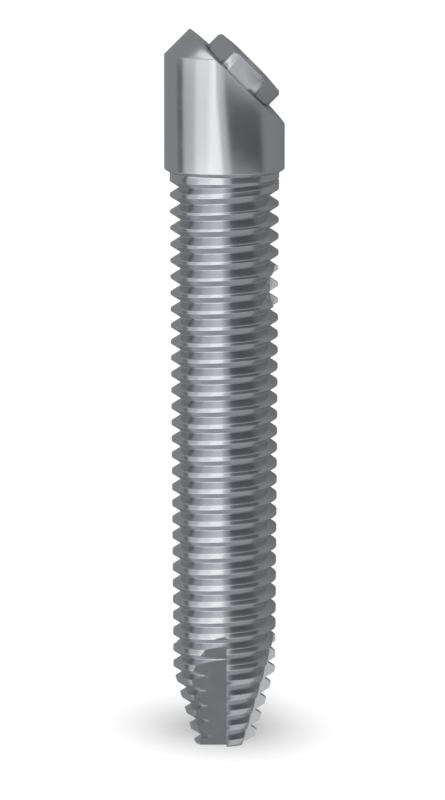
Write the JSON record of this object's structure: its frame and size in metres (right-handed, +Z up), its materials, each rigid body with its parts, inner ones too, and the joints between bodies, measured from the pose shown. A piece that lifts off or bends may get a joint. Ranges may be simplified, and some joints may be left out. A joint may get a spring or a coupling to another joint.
{
  "type": "dental implant",
  "caption": "Long threaded titanium implant screw with a plain collar, a slanted platform carrying an external hexagon, a slow taper, and cutting flutes at its apex.",
  "frame": {"origin": "on the surface the implant lies on, below the middle of its length and on its centre line", "axes": "+Y along the implant from the apex to the head, within one degree; +X to the side that the slanted platform faces; +Z up, with the front turned 10 degrees from it towards +X"},
  "size_m": [0.0044, 0.0264, 0.0045],
  "materials": {
    "titanium": "turned and lightly polished titanium, smooth"
  },
  "bodies": {
    "root": {"implant_body": "titanium"}
  },
  "joints": []
}
